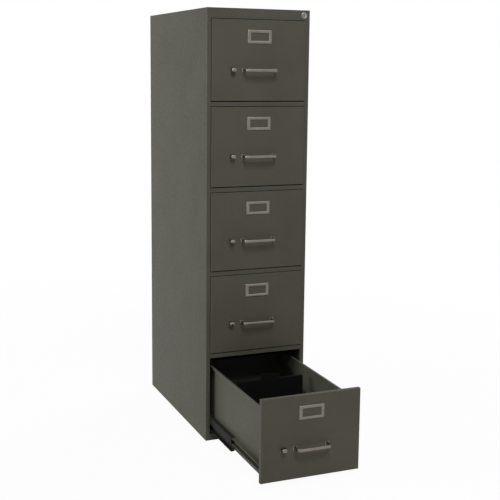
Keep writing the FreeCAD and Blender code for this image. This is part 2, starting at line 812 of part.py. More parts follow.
def follower(label, row):
    """Sliding plate that holds files upright: foot, plate, top fold, raised tab and two gussets."""
    body = new_body(label)
    low = "tray_floor + follower_gap"
    top = "tray_floor + follower_height"
    path = [
        ("follower_place + follower_foot", low),
        ("follower_place", low),
        ("follower_place", top),
        ("follower_place + follower_lip", top),
    ]
    plate = outline(body, SIDE, "-follower_width / 2", strip(path, "follower_gauge", -1))
    pad(body, plate, "follower_width")
    tab = rect("-handle_width / 2", top, "handle_width / 2", f"{top} + handle_height")
    pad(body, outline(body, FRONT, "follower_place", tab), "follower_gauge")
    inner = "follower_place + follower_gauge"
    for hand in (1, -1):
        start = "gusset_place" if hand > 0 else "-gusset_place - follower_gauge"
        gusset = [
            (inner, f"{low} + follower_gauge"),
            ("follower_place + follower_foot", f"{low} + follower_gauge"),
            (inner, f"{top} - follower_foot"),
        ]
        pad(body, outline(body, SIDE, start, gusset), "follower_gauge")
    room = "rib_width / 2 + follower_gap"
    groove = rect(minus(room), "tray_lift", room, "tray_floor + rib_height + follower_gap")
    start = "follower_place - overshoot"
    cut(body, outline(body, FRONT, start, groove), "follower_foot + 2 * overshoot")
    return keep_in_drawer(body, row)


# Lock

def lock_housing():
    """Barrel with its face and bore, held in the header's hole."""
    body = new_body("lock_housing")
    centre = ("lock_place", "lock_height")
    pad(body, disc(body, FRONT, "0", centre, "lock_flange"), "lock_flange_depth", -1)
    pad(body, disc(body, FRONT, "0", centre, "lock_barrel"), "lock_length")
    bore = disc(body, FRONT, "-lock_flange_depth - overshoot", centre, "plug_radius + plug_gap")
    cut(body, bore, "lock_length + lock_flange_depth + 2 * overshoot")
    return keep(body)


def lock_plug():
    """Turning plug with its key slot and the cam behind it."""
    body = new_body("lock_plug")
    centre = ("lock_place", "lock_height")
    start = "-lock_flange_depth - plug_proud"
    length = f"lock_length + plug_tail - ({start})"
    pad(body, disc(body, FRONT, start, centre, "plug_radius"), length)
    cam = rect("lock_place", "lock_height - cam_half", "lock_place + cam_reach", "lock_height + cam_half")
    pad(body, outline(body, FRONT, "lock_length + plug_tail", cam), "cam_gauge")
    tip = ("lock_place + cam_reach", "lock_height")
    pad(body, disc(body, FRONT, "lock_length + plug_tail", tip, "cam_half"), "cam_gauge")
    slot = centred(centre, "key_width", "key_height")
    cut(body, outline(body, FRONT, start, slot), "key_depth")
    return keep(body)


def lock_bar():
    """Bar in the right stile with a welded lug for each drawer, lifted by the cam under its top tab."""
    bar = new_body("bar")
    lug_low = "front_floor + lug_rise"
    shoulder = "header_floor - bar_travel"
    broad = rect("bar_in", lug_low, "bar_out", shoulder)
    pad(bar, outline(bar, FRONT, "bar_front", broad), "bar_gauge")
    neck = rect("bar_out - bar_neck", shoulder, "bar_out", "tab_height + slide_gauge")
    pad(bar, outline(bar, FRONT, "bar_front", neck), "bar_gauge")
    tab = new_body("bar_tab")
    bend = [
        ("bar_out", "bar_front + bar_gauge"),
        ("bar_out", "lug_back"),
        ("lock_place - cam_half", "lug_back"),
        ("lock_place - cam_half", "lug_back - lug_depth"),
        ("bar_out - bar_neck", "lug_back - lug_depth"),
        ("bar_out - bar_neck", "bar_front + bar_gauge"),
    ]
    pad(tab, outline(tab, UP, "tab_height", bend), "slide_gauge")
    lugs = new_body("bar_lugs")
    plate = [
        ("bar_in", "bar_front + bar_gauge"),
        ("bar_out", "bar_front + bar_gauge"),
        ("bar_out", "lug_back"),
        ("opening_half - lug_reach", "lug_back"),
        ("opening_half - lug_reach", "lug_front"),
        ("bar_in", "lug_front"),
    ]
    lug = pad(lugs, outline(lugs, UP, lug_low, plate), "bar_gauge")
    stack(lugs, [lug], "drawer_count")
    return keep(group("lock_bar", [bar, tab, lugs]))


# Assembly

def build_case():
    for name, hand in (("left", -1), ("right", 1)):
        side_panel(name, hand)
        uprights(name, hand)
        slide_channels(name, hand)
    back_panel()
    top_panel()
    header_rail()
    cross_rails()
    base_rails()
    lock_housing()
    lock_plug()
    lock_bar()


def build_drawers():
    """Drawer 1 is the uppermost; row 0 is the lowest."""
    count = int(number("drawer_count"))
    for row in range(count):
        drawer = f"drawer_{count - row}"
        drawer_front(f"{drawer}_front", row)
        drawer_ends(f"{drawer}_ends", row)
        drawer_tray(f"{drawer}_tray", row)
        label_holder(f"{drawer}_label_holder", row)
        drawer_pull(f"{drawer}_pull", row)
        thumb_latch(f"{drawer}_latch", row)
        follower(f"{drawer}_follower", row)
        runners(f"{drawer}_runners", row)
        cradle(f"{drawer}_cradle", row)


def write_parts():
    """Stops on any failed object or shape, then writes one file for each sub-part."""
    doc.recompute()
    for item in doc.Objects:
        if "Invalid" in item.State or "Error" in item.State:
            raise RuntimeError(f"{item.Label} failed: {item.State}")
    for node in NODES:
        if node.Shape.isNull() or not node.Shape.isValid():
            raise RuntimeError(f"{node.Label} has no valid shape")
    os.makedirs("parts", exist_ok=True)
    for node in NODES:
        node.Shape.exportStep(f"parts/{node.Label}.step")
        print(node.Label, len(node.Shape.Solids), "solids")


fill_sheets()
build_case()
build_drawers()
write_parts()
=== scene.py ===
# %% [markdown]
# A tall steel file cabinet is folded sheet, a few bright fittings and a lot of paint. Its construction
# comes in as a finished model, so this script only dresses it: light, finishes, soft edges and the
# small fittings that catch the eye. The first step loads that model and keeps the box it fills, because
# nothing made here may stand outside it.

# %% Load the construction
import json
import math

import bmesh
import bpy
from mathutils import Matrix, Vector


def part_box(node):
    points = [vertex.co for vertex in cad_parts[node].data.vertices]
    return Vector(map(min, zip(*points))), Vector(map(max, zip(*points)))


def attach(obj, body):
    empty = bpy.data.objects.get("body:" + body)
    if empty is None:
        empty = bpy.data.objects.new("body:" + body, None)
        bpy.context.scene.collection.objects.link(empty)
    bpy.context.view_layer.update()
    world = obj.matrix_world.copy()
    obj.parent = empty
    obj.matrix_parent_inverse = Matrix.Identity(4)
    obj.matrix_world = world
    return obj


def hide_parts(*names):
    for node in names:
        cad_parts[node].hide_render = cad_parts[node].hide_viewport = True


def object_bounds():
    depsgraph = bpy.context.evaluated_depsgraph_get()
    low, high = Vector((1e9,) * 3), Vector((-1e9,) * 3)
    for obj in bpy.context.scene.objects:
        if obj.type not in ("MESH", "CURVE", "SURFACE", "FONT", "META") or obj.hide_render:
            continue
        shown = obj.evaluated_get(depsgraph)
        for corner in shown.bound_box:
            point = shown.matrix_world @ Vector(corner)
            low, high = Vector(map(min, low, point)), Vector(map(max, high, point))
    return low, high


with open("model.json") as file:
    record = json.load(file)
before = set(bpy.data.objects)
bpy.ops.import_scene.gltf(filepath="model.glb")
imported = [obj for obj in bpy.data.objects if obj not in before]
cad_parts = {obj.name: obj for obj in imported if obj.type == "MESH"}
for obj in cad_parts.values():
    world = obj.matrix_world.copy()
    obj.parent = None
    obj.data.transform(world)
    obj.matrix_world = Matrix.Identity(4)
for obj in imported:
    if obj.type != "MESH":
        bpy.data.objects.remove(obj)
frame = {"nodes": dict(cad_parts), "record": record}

cad_low, cad_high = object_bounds()
MM = 0.001
DRAWERS = range(1, 6)
scene = bpy.context.scene
print(len(frame["nodes"]), "parts fill", [round(side, 3) for side in cad_high - cad_low], "metres")

# %% [markdown]
# A photograph is matched from its camera outwards. This one stood to the left of the cabinet, a little
# below the height of its top, and looked down by a few degrees. At that tilt a plain camera would let the
# upright edges lean together more than they do in the picture, so the lens is also shifted, as a studio
# camera's is. Its place, angles and shift come from the corners of the case, the label holders and the
# open drawer, whose sizes the model gives. A camera aimed by eye would also do, but then no edge would
# line up. A larger shift would fit a pixel better and cut the top off every other view.

# %% Camera
CAMERA_PLACE = Vector((-1.316, -3.152, 1.326))
YAW = math.radians(22.23)
PITCH = math.radians(8.99)
ROLL = math.radians(0.59)
PICTURE_SIDE = 500
FOCAL_PIXELS = 977.7
OPTICAL_HEIGHT = 222.0
SENSOR = 36


def camera_turn():
    """The camera's axes as columns: its right, its up and its back."""
    ahead = Vector((math.sin(YAW) * math.cos(PITCH), math.cos(YAW) * math.cos(PITCH), -math.sin(PITCH)))
    level = Vector((math.cos(YAW), -math.sin(YAW), 0))
    upright = level.cross(ahead)
    right = level * math.cos(ROLL) + upright * math.sin(ROLL)
    up = upright * math.cos(ROLL) - level * math.sin(ROLL)
    return Matrix((right, up, -ahead)).transposed().to_4x4()


lens = bpy.data.cameras.new("camera")
lens.sensor_width = SENSOR
lens.lens = SENSOR * FOCAL_PIXELS / PICTURE_SIDE
lens.shift_y = OPTICAL_HEIGHT / PICTURE_SIDE - 0.5
camera = bpy.data.objects.new("camera", lens)
scene.collection.objects.link(camera)
camera.matrix_world = Matrix.Translation(CAMERA_PLACE) @ camera_turn()
scene.camera = camera
scene.view_settings.view_transform = "Standard"
print("lens", round(lens.lens, 1), "mm, shifted by", round(lens.shift_y, 3))

# %% [markdown]
# Every finish below is a small graph of nodes, and each graph needs the same few moves: add a node, fill
# its inputs, mix two colours. One helper does the first two, so a material reads as a list of what it is
# made of. Values that are the same all over go straight into the shader's own sockets.

# %% Helpers for node graphs
def place(tree, kind, settings=None, **inputs):
    """Adds a node, sets it up and fills its inputs with values or with other nodes' outputs."""
    item = tree.nodes.new("ShaderNode" + kind)
    for name, value in (settings or {}).items():
        setattr(item, name, value)
    for name, value in inputs.items():
        fill(tree, item.inputs[name.replace("_", " ")], value)
    return item


def fill(tree, socket, value):
    if isinstance(value, bpy.types.NodeSocket):
        tree.links.new(value, socket)
    else:
        socket.default_value = value


def blend(tree, share, first, second):
    """A colour between two, by share."""
    item = tree.nodes.new("ShaderNodeMix")
    item.data_type = "RGBA"
    for index, value in ((0, share), (6, first), (7, second)):
        fill(tree, item.inputs[index], value)
    return item.outputs[2]


def ramp(tree, share, *stops):
    """A colour ramp with a stop at each (place, colour)."""
    item = place(tree, "ValToRGB", Fac=share)
    band = item.color_ramp
    while len(band.elements) < len(stops):
        band.elements.new(1.0)
    for element, (spot, colour) in zip(band.elements, stops):
        element.position = spot
        element.color = colour
    return item.outputs["Color"]


def grey(level):
    return (level, level, level, 1.0)


def tinted(colour, gain=1.0):
    return tuple(min(1.0, part * gain) for part in colour) + (1.0,)


print("node helpers ready")

# %% [markdown]
# The cabinet was photographed against white, lit from the left through something large and soft. A white
# world would do that, but it would also fill every shadow, and the open drawer is nearly black inside. So
# the world is white only for what the camera and the polished metal see, and dim as a light. The floor is
# handled the same way: white from a few metres off, with a faint shadow round the cabinet, and without any
# glow where the case stands on it, or the floor would shine through the gaps beside the lowest drawer.

# %% Floor and surroundings
AMBIENT = 0.11
FLOOR_SIDE = 60.0
FLOOR_COLOUR = grey(0.70)
FLOOR_GLOW = 0.96
SHADOW_REACH = (1.2, 3.6)
UNDER_CASE = (Vector((0.0, 0.337, 0.0)), Vector((0.190, 0.335, 1.0)))
UNDER_EDGE = 0.96


def seen_rays(tree):
    """1 for rays from the camera and for rays mirrored or passed on by the object, otherwise 0."""
    path = place(tree, "LightPath")
    first = place(tree, "Math", {"operation": "MAXIMUM"})
    fill(tree, first.inputs[0], path.outputs["Is Camera Ray"])
    fill(tree, first.inputs[1], path.outputs["Is Glossy Ray"])
    second = place(tree, "Math", {"operation": "MAXIMUM"})
    fill(tree, second.inputs[0], first.outputs[0])
    fill(tree, second.inputs[1], path.outputs["Is Transmission Ray"])
    return second.outputs[0]


def white_world():
    world = bpy.data.worlds.new("studio")
    world.use_nodes = True
    tree = world.node_tree
    strength = place(tree, "MapRange", Value=seen_rays(tree), To_Min=AMBIENT, To_Max=1.0)
    background = tree.nodes["Background"]
    background.inputs["Color"].default_value = grey(1.0)
    tree.links.new(strength.outputs[0], background.inputs["Strength"])
    return world


def beyond_case(tree, spot):
    """0 on the floor under the case, 1 beside it."""
    middle, half = UNDER_CASE
    moved = place(tree, "VectorMath", {"operation": "SUBTRACT"}, Vector=spot)
    fill(tree, moved.inputs[1], middle)
    scaled = place(tree, "VectorMath", {"operation": "DIVIDE"}, Vector=moved.outputs[0])
    fill(tree, scaled.inputs[1], half)
    sizes = place(tree, "VectorMath", {"operation": "ABSOLUTE"}, Vector=scaled.outputs[0])
    parts = place(tree, "SeparateXYZ", Vector=sizes.outputs[0])
    widest = place(tree, "Math", {"operation": "MAXIMUM"})
    fill(tree, widest.inputs[0], parts.outputs["X"])
    fill(tree, widest.inputs[1], parts.outputs["Y"])
    return place(tree, "MapRange", Value=widest.outputs[0], From_Min=UNDER_EDGE, From_Max=1.0).outputs[0]


def product(tree, first, second):
    item = place(tree, "Math", {"operation": "MULTIPLY"})
    fill(tree, item.inputs[0], first)
    fill(tree, item.inputs[1], second)
    return item.outputs[0]


def floor_material():
    """Pale floor that glows for the camera, and near the cabinet still darkens in its shade."""
    material = bpy.data.materials.new("floor")
    material.use_nodes = True
    tree = material.node_tree
    tree.nodes.remove(tree.nodes["Principled BSDF"])
    plain = place(tree, "BsdfDiffuse", Color=FLOOR_COLOUR)
    glow = place(tree, "Emission", Color=grey(1.0), Strength=1.0)
    spot = place(tree, "TexCoord").outputs["Object"]
    away = place(tree, "VectorMath", {"operation": "LENGTH"}, Vector=spot)
    share = place(
        tree, "MapRange", {"interpolation_type": "SMOOTHSTEP"}, Value=away.outputs["Value"],
        From_Min=SHADOW_REACH[0], From_Max=SHADOW_REACH[1], To_Min=FLOOR_GLOW, To_Max=1.0,
    )
    open_floor = product(tree, share.outputs[0], beyond_case(tree, spot))
    mixed = place(tree, "MixShader", Fac=product(tree, open_floor, seen_rays(tree)))
    tree.links.new(plain.outputs[0], mixed.inputs[1])
    tree.links.new(glow.outputs[0], mixed.inputs[2])
    tree.links.new(mixed.outputs[0], tree.nodes["Material Output"].inputs["Surface"])
    return material


scene.world = white_world()
bpy.ops.mesh.primitive_plane_add(size=FLOOR_SIDE, location=(0, 0, cad_low.z))
floor = bpy.context.object
floor.name = "floor"
floor.data.materials.append(floor_material())
print("floor at", round(cad_low.z, 4), "and a white world of strength", AMBIENT)

# %% [markdown]
# One large panel to the left gives the bright side. A larger one hangs high in front: it keeps the darker
# fronts readable, shades the lower side of every pull, and comes down too steeply to reach into the open
# drawer, which is nearly black inside. A third stands behind on the right, where the photograph's camera
# sees nothing of its light, so that the back reads as well as the front. Small lamps would draw hard
# shadows and pin-point glints. All three are area lamps, and the one behind is left out of reflections,
# because the flat top would mirror it.

# %% Lamps
AIM = Vector((0.0, 0.2, 0.75))
LAMPS = (
    ("side_panel_light", Vector((-4.6, 0.35, 1.7)), 1.4, 106.0, True),
    ("front_top_light", Vector((-0.6, -4.3, 5.4)), 2.4, 250.0, True),
    ("back_light", Vector((4.2, 3.6, 2.6)), 2.0, 250.0, False),
)


def add_lamp(name, spot, side, power, mirrored):
    """A square lamp that looks at AIM; mirrored says whether glossy surfaces show it."""
    data = bpy.data.lights.new(name, "AREA")
    data.size = side
    data.energy = power
    lamp = bpy.data.objects.new(name, data)
    scene.collection.objects.link(lamp)
    lamp.location = spot
    lamp.rotation_mode = "QUATERNION"
    lamp.rotation_quaternion = (AIM - spot).to_track_quat("-Z", "Y")
    lamp.visible_glossy = mirrored


for lamp_facts in LAMPS:
    add_lamp(*lamp_facts)
print(len(LAMPS), "soft lamps")

# %% [markdown]
# Baked enamel on steel is hardly ever one flat colour. It has a faint cloudiness from the spray gun, an
# orange-peel skin a millimetre or two across, sheet that isn't quite flat, and thin paint along the
# folds. Each of these is one noise texture at its own real size. The edges come from comparing the
# surface's own direction with one rounded over a millimetre: where they differ there is a fold.

# %% Painted sheet steel
CASE_TONE = (0.0725, 0.0715, 0.0550)
FRONT_TONE = (0.0765, 0.0720, 0.0535)
TRAY_TONE = (0.080, 0.079, 0.062)
CLOUD_SIZE = 180 * MM
DUST_SIZE = 12 * MM
PEEL_SIZE = 1.8 * MM
PEEL_DEPTH = 0.010 * MM
BUCKLE_SIZE = 300 * MM
BUCKLE_DEPTH = 0.9 * MM
FOLD_WIDTH = 1.0 * MM
WORN_GAIN = 2.4


def folds(tree):
    """1 along the folds and edges, 0 on the flats."""
    rounded = place(tree, "Bevel", {"samples": 4}, Radius=FOLD_WIDTH)
    surface = place(tree, "NewGeometry")
    likeness = place(tree, "VectorMath", {"operation": "DOT_PRODUCT"})
    fill(tree, likeness.inputs[0], rounded.outputs["Normal"])
    fill(tree, likeness.inputs[1], surface.outputs["Normal"])
    return place(
        tree, "MapRange", Value=likeness.outputs["Value"], From_Min=0.995, From_Max=0.93
    ).outputs[0]


def noise(tree, coords, size, detail=2.0, stretch=(1.0, 1.0, 1.0)):
    """Noise whose lumps are about size across, in metres, drawn out along an axis by stretch."""
    spread = place(tree, "Mapping", Vector=coords, Scale=tuple(1.0 / part for part in stretch))
    grain = place(tree, "TexNoise", Vector=spread.outputs[0], Scale=1.0 / size, Detail=detail)
    return grain.outputs["Fac"]


def bumps(tree, *layers):
    """Stacks bump maps: each layer is (height, distance in metres)."""
    normal = None
    for height, distance in layers:
        item = place(tree, "Bump", Height=height, Distance=distance, Strength=1.0)
        if normal is not None:
            tree.links.new(normal, item.inputs["Normal"])
        normal = item.outputs["Normal"]
    return normal


def painted_steel(name, tone, wear, mirror=0.20):
    """Satin enamel on folded sheet. wear is how much the folds have paled, mirror its specular level."""
    material = bpy.data.materials.new(name)
    material.use_nodes = True
    tree = material.node_tree
    shader = tree.nodes["Principled BSDF"]
    coords = place(tree, "TexCoord").outputs["Object"]
    cloud = noise(tree, coords, CLOUD_SIZE, 4.0)
    dust = noise(tree, coords, DUST_SIZE, 5.0)
    colour = ramp(tree, cloud, (0.32, tinted(tone, 0.93)), (0.68, tinted(tone, 1.07)))
    rubbed = place(tree, "Math", {"operation": "MULTIPLY"})
    fill(tree, rubbed.inputs[0], folds(tree))
    fill(tree, rubbed.inputs[1], place(
        tree, "MapRange", Value=dust, From_Min=0.40, From_Max=0.62, To_Max=wear
    ).outputs[0])
    worn = blend(tree, rubbed.outputs[0], colour, tinted(tone, WORN_GAIN))
    tree.links.new(worn, shader.inputs["Base Color"])
    gloss = place(tree, "MapRange", Value=dust, From_Min=0.3, From_Max=0.7, To_Min=0.52, To_Max=0.66)
    tree.links.new(gloss.outputs[0], shader.inputs["Roughness"])
    shader.inputs["Specular IOR Level"].default_value = mirror
    relief = bumps(
        tree,
        (noise(tree, coords, BUCKLE_SIZE, 1.0), BUCKLE_DEPTH),
        (noise(tree, coords, PEEL_SIZE, 1.0), PEEL_DEPTH),
    )
    tree.links.new(relief, shader.inputs["Normal"])
    return material


case_paint = painted_steel("case_enamel", CASE_TONE, 0.5)
front_paint = painted_steel("front_enamel", FRONT_TONE, 0.6)
tray_paint = painted_steel("tray_enamel", TRAY_TONE, 0.8)
print("three enamels")

# %% [markdown]
# The fittings are die-cast and stamped metal with a satin nickel plate. A mirror would be too hard: the
# fine lines left by polishing blur what it reflects, mostly along one direction. A noise stretched along
# X gives those lines, both as roughness and as a very shallow bump.

# %% Bright metal
NICKEL = (0.205, 0.188, 0.160)
BRUSH_SIZE = 0.5 * MM
BRUSH_STRETCH = (40.0, 1.0, 1.0)
STAIN_SIZE = 25 * MM
PLATE_MIRROR = 0.04


def plated(name, tone, smooth, rough, lines, metallic=1.0):
    """Plated metal with polishing lines along X; lines is their depth in metres."""
    material = bpy.data.materials.new(name)
    material.use_nodes = True
    tree = material.node_tree
    shader = tree.nodes["Principled BSDF"]
    coords = place(tree, "TexCoord").outputs["Object"]
    brushed = noise(tree, coords, BRUSH_SIZE, 3.0, BRUSH_STRETCH)
    stains = noise(tree, coords, STAIN_SIZE, 4.0)
    colour = ramp(tree, stains, (0.35, tinted(tone, 0.88)), (0.65, tinted(tone, 1.0)))
    tree.links.new(colour, shader.inputs["Base Color"])
    gloss = place(tree, "MapRange", Value=brushed, From_Min=0.3, From_Max=0.7, To_Min=smooth, To_Max=rough)
    tree.links.new(gloss.outputs[0], shader.inputs["Roughness"])
    shader.inputs["Metallic"].default_value = metallic
    shader.inputs["Specular IOR Level"].default_value = PLATE_MIRROR
    tree.links.new(bumps(tree, (brushed, lines)), shader.inputs["Normal"])
    return material


bright_metal = plated("satin_nickel", NICKEL, 0.30, 0.44, 0.006 * MM)
print("satin nickel")

# %% [markdown]
# Slides are cold-rolled strip with a dark phosphate skin, oiled and dulled by use. That skin is a crystal,
# not a metal, so the shader treats it as one that mirrors almost nothing. The rollers are hard black nylon
# on steel pins, and the lock is turned brass with a dull nickel plate. The follower is enamelled black,
# and its near-black colour is also painted shade: it stands in for the dark inside of the open drawer,
# where the photograph shows only its tab. All of them hide in shade, where a little variation is enough.

# %% Slides, rollers and lock
PHOSPHATE = (0.024, 0.024, 0.021)
LOCK_PLATE = (0.26, 0.26, 0.25)
NYLON = (0.016, 0.016, 0.017)
GREASE_SIZE = 6 * MM
# The follower's near-black tone is black enamel and also painted shade for the dark inside of the open
# drawer.
FOLLOWER_BLACK_AND_SHADE_TONE = (0.006, 0.006, 0.006)

slide_steel = plated("dark_phosphate", PHOSPHATE, 0.50, 0.66, 0.010 * MM, metallic=0.0)
lock_metal = plated("lock_nickel", LOCK_PLATE, 0.26, 0.40, 0.004 * MM)


def moulded_nylon():
    material = bpy.data.materials.new("black_nylon")
    material.use_nodes = True
    tree = material.node_tree
    shader = tree.nodes["Principled BSDF"]
    coords = place(tree, "TexCoord").outputs["Object"]
    grease = noise(tree, coords, GREASE_SIZE, 3.0)
    colour = ramp(tree, grease, (0.4, tinted(NYLON)), (0.7, tinted(NYLON, 2.2)))
    tree.links.new(colour, shader.inputs["Base Color"])
    gloss = place(tree, "MapRange", Value=grease, From_Min=0.3, From_Max=0.7, To_Min=0.30, To_Max=0.55)
    tree.links.new(gloss.outputs[0], shader.inputs["Roughness"])
    return material


nylon = moulded_nylon()
# Black enamel made near-black, partly as painted shade for the inside of the open drawer.
follower_paint = painted_steel("follower_black_and_painted_shade", FOLLOWER_BLACK_AND_SHADE_TONE, 0.5, mirror=0.05)
print("phosphate, lock plate, nylon and black enamel")

# %% [markdown]
# The case, trays and slides keep the shapes of the construction. What they lack is the softness of a real
# fold: no sheared or bent edge is a perfect corner, and it is the thin highlight there that makes sheet
# metal look like metal. A bevel modifier of a quarter of a millimetre adds it without touching the
# parts themselves. It has to know which triangles meet, so a weld modifier comes first.

# %% Dress the carried-over parts
EDGE = 0.25 * MM
SHARP = math.radians(35)
SAME_SPOT = 0.002 * MM
FINISHES = {
    "case_paint": case_paint,
    "front_paint": front_paint,
    "tray_paint": tray_paint,
    "follower_paint": follower_paint,
    "slide_steel": slide_steel,
    "bright_metal": bright_metal,
    "lock_metal": lock_metal,
}


def soften(part, width=EDGE):
    """Shades a part by its real corners and rounds them slightly."""
    mesh = part.data
    if "custom_normal" in mesh.attributes:
        mesh.attributes.remove(mesh.attributes["custom_normal"])
    mesh.shade_smooth()
    weld = part.modifiers.new("weld", "WELD")
    weld.merge_threshold = SAME_SPOT
    bevel = part.modifiers.new("edges", "BEVEL")
    bevel.width = width
    bevel.segments = 2
    bevel.limit_method = "ANGLE"
    bevel.angle_limit = SHARP
    bevel.harden_normals = True


for entry in frame["record"]["subparts"]:
    part = frame["nodes"][entry["node"]]
    part.data.materials.clear()
    part.data.materials.append(FINISHES[entry["material_slot"]])
    soften(part)
print(len(frame["nodes"]), "parts finished and softened")

# %% [markdown]
# Fittings need real curves, which are easiest to make as a skin over rings: draw the outline of a slice,
# move and scale it along the piece, and join each ring to the next. The same idea makes a frame (rings
# that shrink), a bent bar (rings that follow a path) and anything turned on a lathe (rings of a circle).

# %% Helpers for skinned shapes
def rounded_rectangle(half_width, half_height, radius, steps=4):
    """Points anticlockwise round a rectangle with rounded corners, about the middle."""
    points = []
    for quarter, (across, up) in enumerate(((1, 1), (-1, 1), (-1, -1), (1, -1))):
        for step in range(steps + 1):
            angle = math.radians(90 * (quarter + step / steps))
            points.append((
                across * (half_width - radius) + radius * math.cos(angle),
                up * (half_height - radius) + radius * math.sin(angle),
            ))
    return points


def skin(shape, rings, looped=False):
    """Joins each ring to the next, and either the last to the first or a flat cap to each end."""
    rows = [[shape.verts.new(point) for point in ring] for ring in rings]
    pairs = list(zip(rows, rows[1:])) + ([(rows[-1], rows[0])] if looped else [])
    for lower, upper in pairs:
        for index in range(len(lower)):
            after = (index + 1) % len(lower)
            shape.faces.new((lower[index], lower[after], upper[after], upper[index]))
    if not looped:
        shape.faces.new(rows[0][::-1])
        shape.faces.new(rows[-1])


def turned(shape, profile, centre, axis, sides=28, looped=False):
    """A lathe shape: profile is (distance along the axis, radius), both in metres."""
    axis = Vector(axis).normalized()
    first = axis.orthogonal().normalized()
    second = axis.cross(first)
    rings = []
    for along, radius in profile:
        middle = Vector(centre) + axis * along
        rings.append([
            middle + radius * (math.cos(turn) * first + math.sin(turn) * second)
            for turn in (math.tau * side / sides for side in range(sides))
        ])
    skin(shape, rings, looped)


def in_metres(profile):
    """A lathe profile that is written in millimetres."""
    return [(along * MM, radius * MM) for along, radius in profile]


def block(shape, low, high, edge=0.3 * MM):
    """A box between two corners with slightly broken edges."""
    grown = bmesh.ops.create_cube(shape, size=1.0)["verts"]
    bmesh.ops.scale(shape, vec=high - low, verts=grown)
    bmesh.ops.translate(shape, vec=(low + high) / 2, verts=grown)
    edges = {line for vert in grown for line in vert.link_edges}
    bmesh.ops.bevel(shape, geom=list(edges), offset=edge, segments=2, profile=0.5, affect="EDGES")


def make_piece(name, shape, body, finish, slot, *nodes):
    """Turns a built shape into a piece that rides on a body and stands for the named parts."""
    bmesh.ops.recalc_face_normals(shape, faces=shape.faces)
    mesh = bpy.data.meshes.new(name)
    shape.to_mesh(mesh)
    shape.free()
    mesh.shade_smooth()
    mesh.set_sharp_from_angle(angle=SHARP)
    mesh.materials.append(finish)
    piece = bpy.data.objects.new(name, mesh)
    scene.collection.objects.link(piece)
    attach(piece, body)
    if nodes:
        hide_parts(*nodes)
    return piece


print("skin, lathe and block helpers ready")

# %% [markdown]
# The label holder is a stamped frame with a rolled rim, which takes a paper card from the side. The one
# here holds none, so the painted front shows through its window. It is a ring of rectangles that
# shrink from the outer edge to the window while the metal rises, crowns and falls again. The corners are
# rounded more outside than inside, as a stamping is.

# %% Label holders
WINDOW = (66 * MM, 27 * MM)
OUTER_CORNER = 2.6
CORNER_LOSS = 1.9
RIM_PROFILE = (
    (0.00, 0.00), (0.00, 0.30), (0.05, 0.62), (0.14, 0.86), (0.26, 0.97), (0.40, 1.00), (0.60, 0.98),
    (0.78, 0.90), (0.92, 0.76), (1.00, 0.58), (1.00, 0.36), (0.62, 0.36), (0.62, 0.00),
)


def label_holder(number):
    node = f"drawer_{number}_label_holder"
    low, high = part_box(node)
    middle = (low + high) / 2
    half = (high - low) / 2
    window = (WINDOW[0] / 2, WINDOW[1] / 2)
    shape = bmesh.new()
    rings = []
    for share, rise in RIM_PROFILE:
        width = half.x + (window[0] - half.x) * share
        height = half.z + (window[1] - half.z) * share
        radius = (OUTER_CORNER - CORNER_LOSS * share) * MM
        depth = high.y - rise * (high.y - low.y)
        corner = rounded_rectangle(width, height, radius)
        rings.append([Vector((middle.x + x, depth, middle.z + z)) for x, z in corner])
    skin(shape, rings, looped=True)
    return make_piece(node + "_rim", shape, f"drawer_{number}", bright_metal, "bright_metal", node)


for number in DRAWERS:
    label_holder(number)
print("label holders, window", [round(side, 3) for side in WINDOW])

# %% [markdown]
# The pull is one bent bar on two feet. It could be a curve with a bevel, but its section is a soft
# rectangle that swells where each leg meets its foot, and a curve keeps one section. So rings follow the
# path: out of the foot, round the bend, along the grip and back.

# %% Drawer pulls
GRIP_HALF = (3.0 * MM, 5.0 * MM)
GRIP_CORNER = 2.3 * MM
PULL_BEND = 9.0 * MM
LEG_SLICES = ((0.9, 1.45), (3.2, 1.22), (6.5, 1.05))
SIDE_SWELL = 0.6
FOOT = (8.0 * MM, 7.0 * MM)
FOOT_CORNER = 2.4 * MM
FOOT_PROFILE = ((0.0, 0.0), (0.7, 0.0), (1.2, 0.3), (1.5, 1.2))
BEND_STEPS = 8
GRIP_STEPS = 6


def pull_path(half, face, reach):
    """Centre points of the bar in plan, from the left foot to the right, with how much each swells."""
    out = face - reach + GRIP_HALF[0]
    corner = half - PULL_BEND
    left = [(-half, face - depth * MM, swell) for depth, swell in LEG_SLICES]
    for step in range(BEND_STEPS + 1):
        angle = math.radians(180 + 90 * step / BEND_STEPS)
        side = -corner + PULL_BEND * math.cos(angle)
        left.append((side, out + PULL_BEND * (1 + math.sin(angle)), 1.0))
    across = [(-corner + 2 * corner * step / GRIP_STEPS, out, 1.0) for step in range(1, GRIP_STEPS)]
    right = [(-x, y, swell) for x, y, swell in reversed(left)]
    return left + across + right


def bar_rings(path, height):
    """A slice of the bar across the path at each of its points."""
    rings = []
    for index, (x, y, swell) in enumerate(path):
        before, after = path[max(index - 1, 0)], path[min(index + 1, len(path) - 1)]
        run = Vector((after[0] - before[0], after[1] - before[1], 0)).normalized()
        side = Vector((-run.y, run.x, 0))
        tall = GRIP_HALF[1] * (1 + (swell - 1) * SIDE_SWELL)
        section = rounded_rectangle(GRIP_HALF[0] * swell, tall, GRIP_CORNER)
        middle = Vector((x, y, height))
        rings.append([middle + side * across + Vector((0, 0, up)) for across, up in section])
    return rings


def foot_rings(x_middle, face, height):
    rings = []
    for depth, inset in FOOT_PROFILE:
        outline = rounded_rectangle(FOOT[0] - inset * MM, FOOT[1] - inset * MM, FOOT_CORNER)
        rings.append([Vector((x_middle + x, face - depth * MM, height + z)) for x, z in outline])
    return rings


